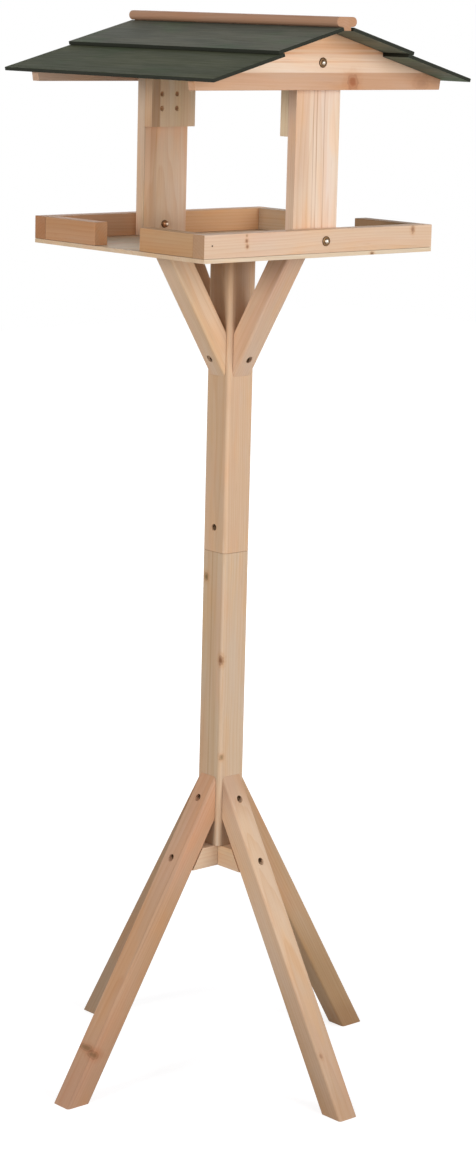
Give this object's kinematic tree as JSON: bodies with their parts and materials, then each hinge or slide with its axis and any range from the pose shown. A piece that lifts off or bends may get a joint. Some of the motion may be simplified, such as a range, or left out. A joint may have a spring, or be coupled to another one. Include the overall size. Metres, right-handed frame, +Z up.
{
  "type": "bird table",
  "caption": "Free-standing wooden bird table: splayed batten legs, a square post, a braced tray with low rails, and a lapped-board gable roof on two uprights.",
  "frame": {"origin": "on the ground under the middle of the post", "axes": "+Z up; +Y towards the rear gable, along the ridge; +X to the right eave; the front gable faces -Y"},
  "size_m": [0.46, 0.46, 1.2137],
  "materials": {
    "pale_pine": "planed pine, lightly oiled",
    "post_and_leg_pine": "rounded-edge pine batten, dip treated to a warm brown",
    "dark_pine": "planed pine, darker brown",
    "green_stained_boards": "thin boards stained dark green-grey, matt",
    "screws": "yellow passivated",
    "bolts_and_nuts": "zinc plated"
  },
  "bodies": {
    "root": {"block_screw_bottom_left": "screws", "block_screw_bottom_right": "screws", "block_screw_top_left": "screws", "block_screw_top_right": "screws", "brace_front": "pale_pine", "brace_left": "pale_pine", "brace_rear": "pale_pine", "brace_right": "pale_pine", "brace_screw_front": "screws", "brace_screw_left": "screws", "brace_screw_rear": "screws", "brace_screw_right": "screws", "cross_bar_front_to_back": "pale_pine", "cross_bar_side_to_side": "pale_pine", "gable_block_front": "dark_pine", "gable_block_rear": "dark_pine", "gable_bolt_front": "bolts_and_nuts", "gable_bolt_rear": "bolts_and_nuts", "gable_front": "pale_pine", "gable_nut_front": "bolts_and_nuts", "gable_nut_rear": "bolts_and_nuts", "gable_rear": "pale_pine", "leg_front": "post_and_leg_pine", "leg_left": "post_and_leg_pine", "leg_lower_screw_front": "screws", "leg_lower_screw_left": "screws", "leg_lower_screw_rear": "screws", "leg_lower_screw_right": "screws", "leg_rear": "post_and_leg_pine", "leg_right": "post_and_leg_pine", "leg_upper_screw_front": "screws", "leg_upper_screw_left": "screws", "leg_upper_screw_rear": "screws", "leg_upper_screw_right": "screws", "post_dowel": "pale_pine", "post_joint_screw": "screws", "post_lower": "post_and_leg_pine", "post_upper": "post_and_leg_pine", "rail_bolt_front": "bolts_and_nuts", "rail_bolt_rear": "bolts_and_nuts", "rail_nut_front": "bolts_and_nuts", "rail_nut_rear": "bolts_and_nuts", "ridge_cap": "dark_pine", "roof_board_left_lower": "green_stained_boards", "roof_board_left_upper": "green_stained_boards", "roof_board_right_lower": "green_stained_boards", "roof_board_right_upper": "green_stained_boards", "tray_floor": "pale_pine", "tray_rail_front": "pale_pine", "tray_rail_left_front": "pale_pine", "tray_rail_left_rear": "pale_pine", "tray_rail_rear": "pale_pine", "tray_rail_right_front": "pale_pine", "tray_rail_right_rear": "pale_pine", "tray_screw_left": "screws", "tray_screw_right": "screws", "upright_front": "pale_pine", "upright_rear": "pale_pine"}
  },
  "joints": []
}
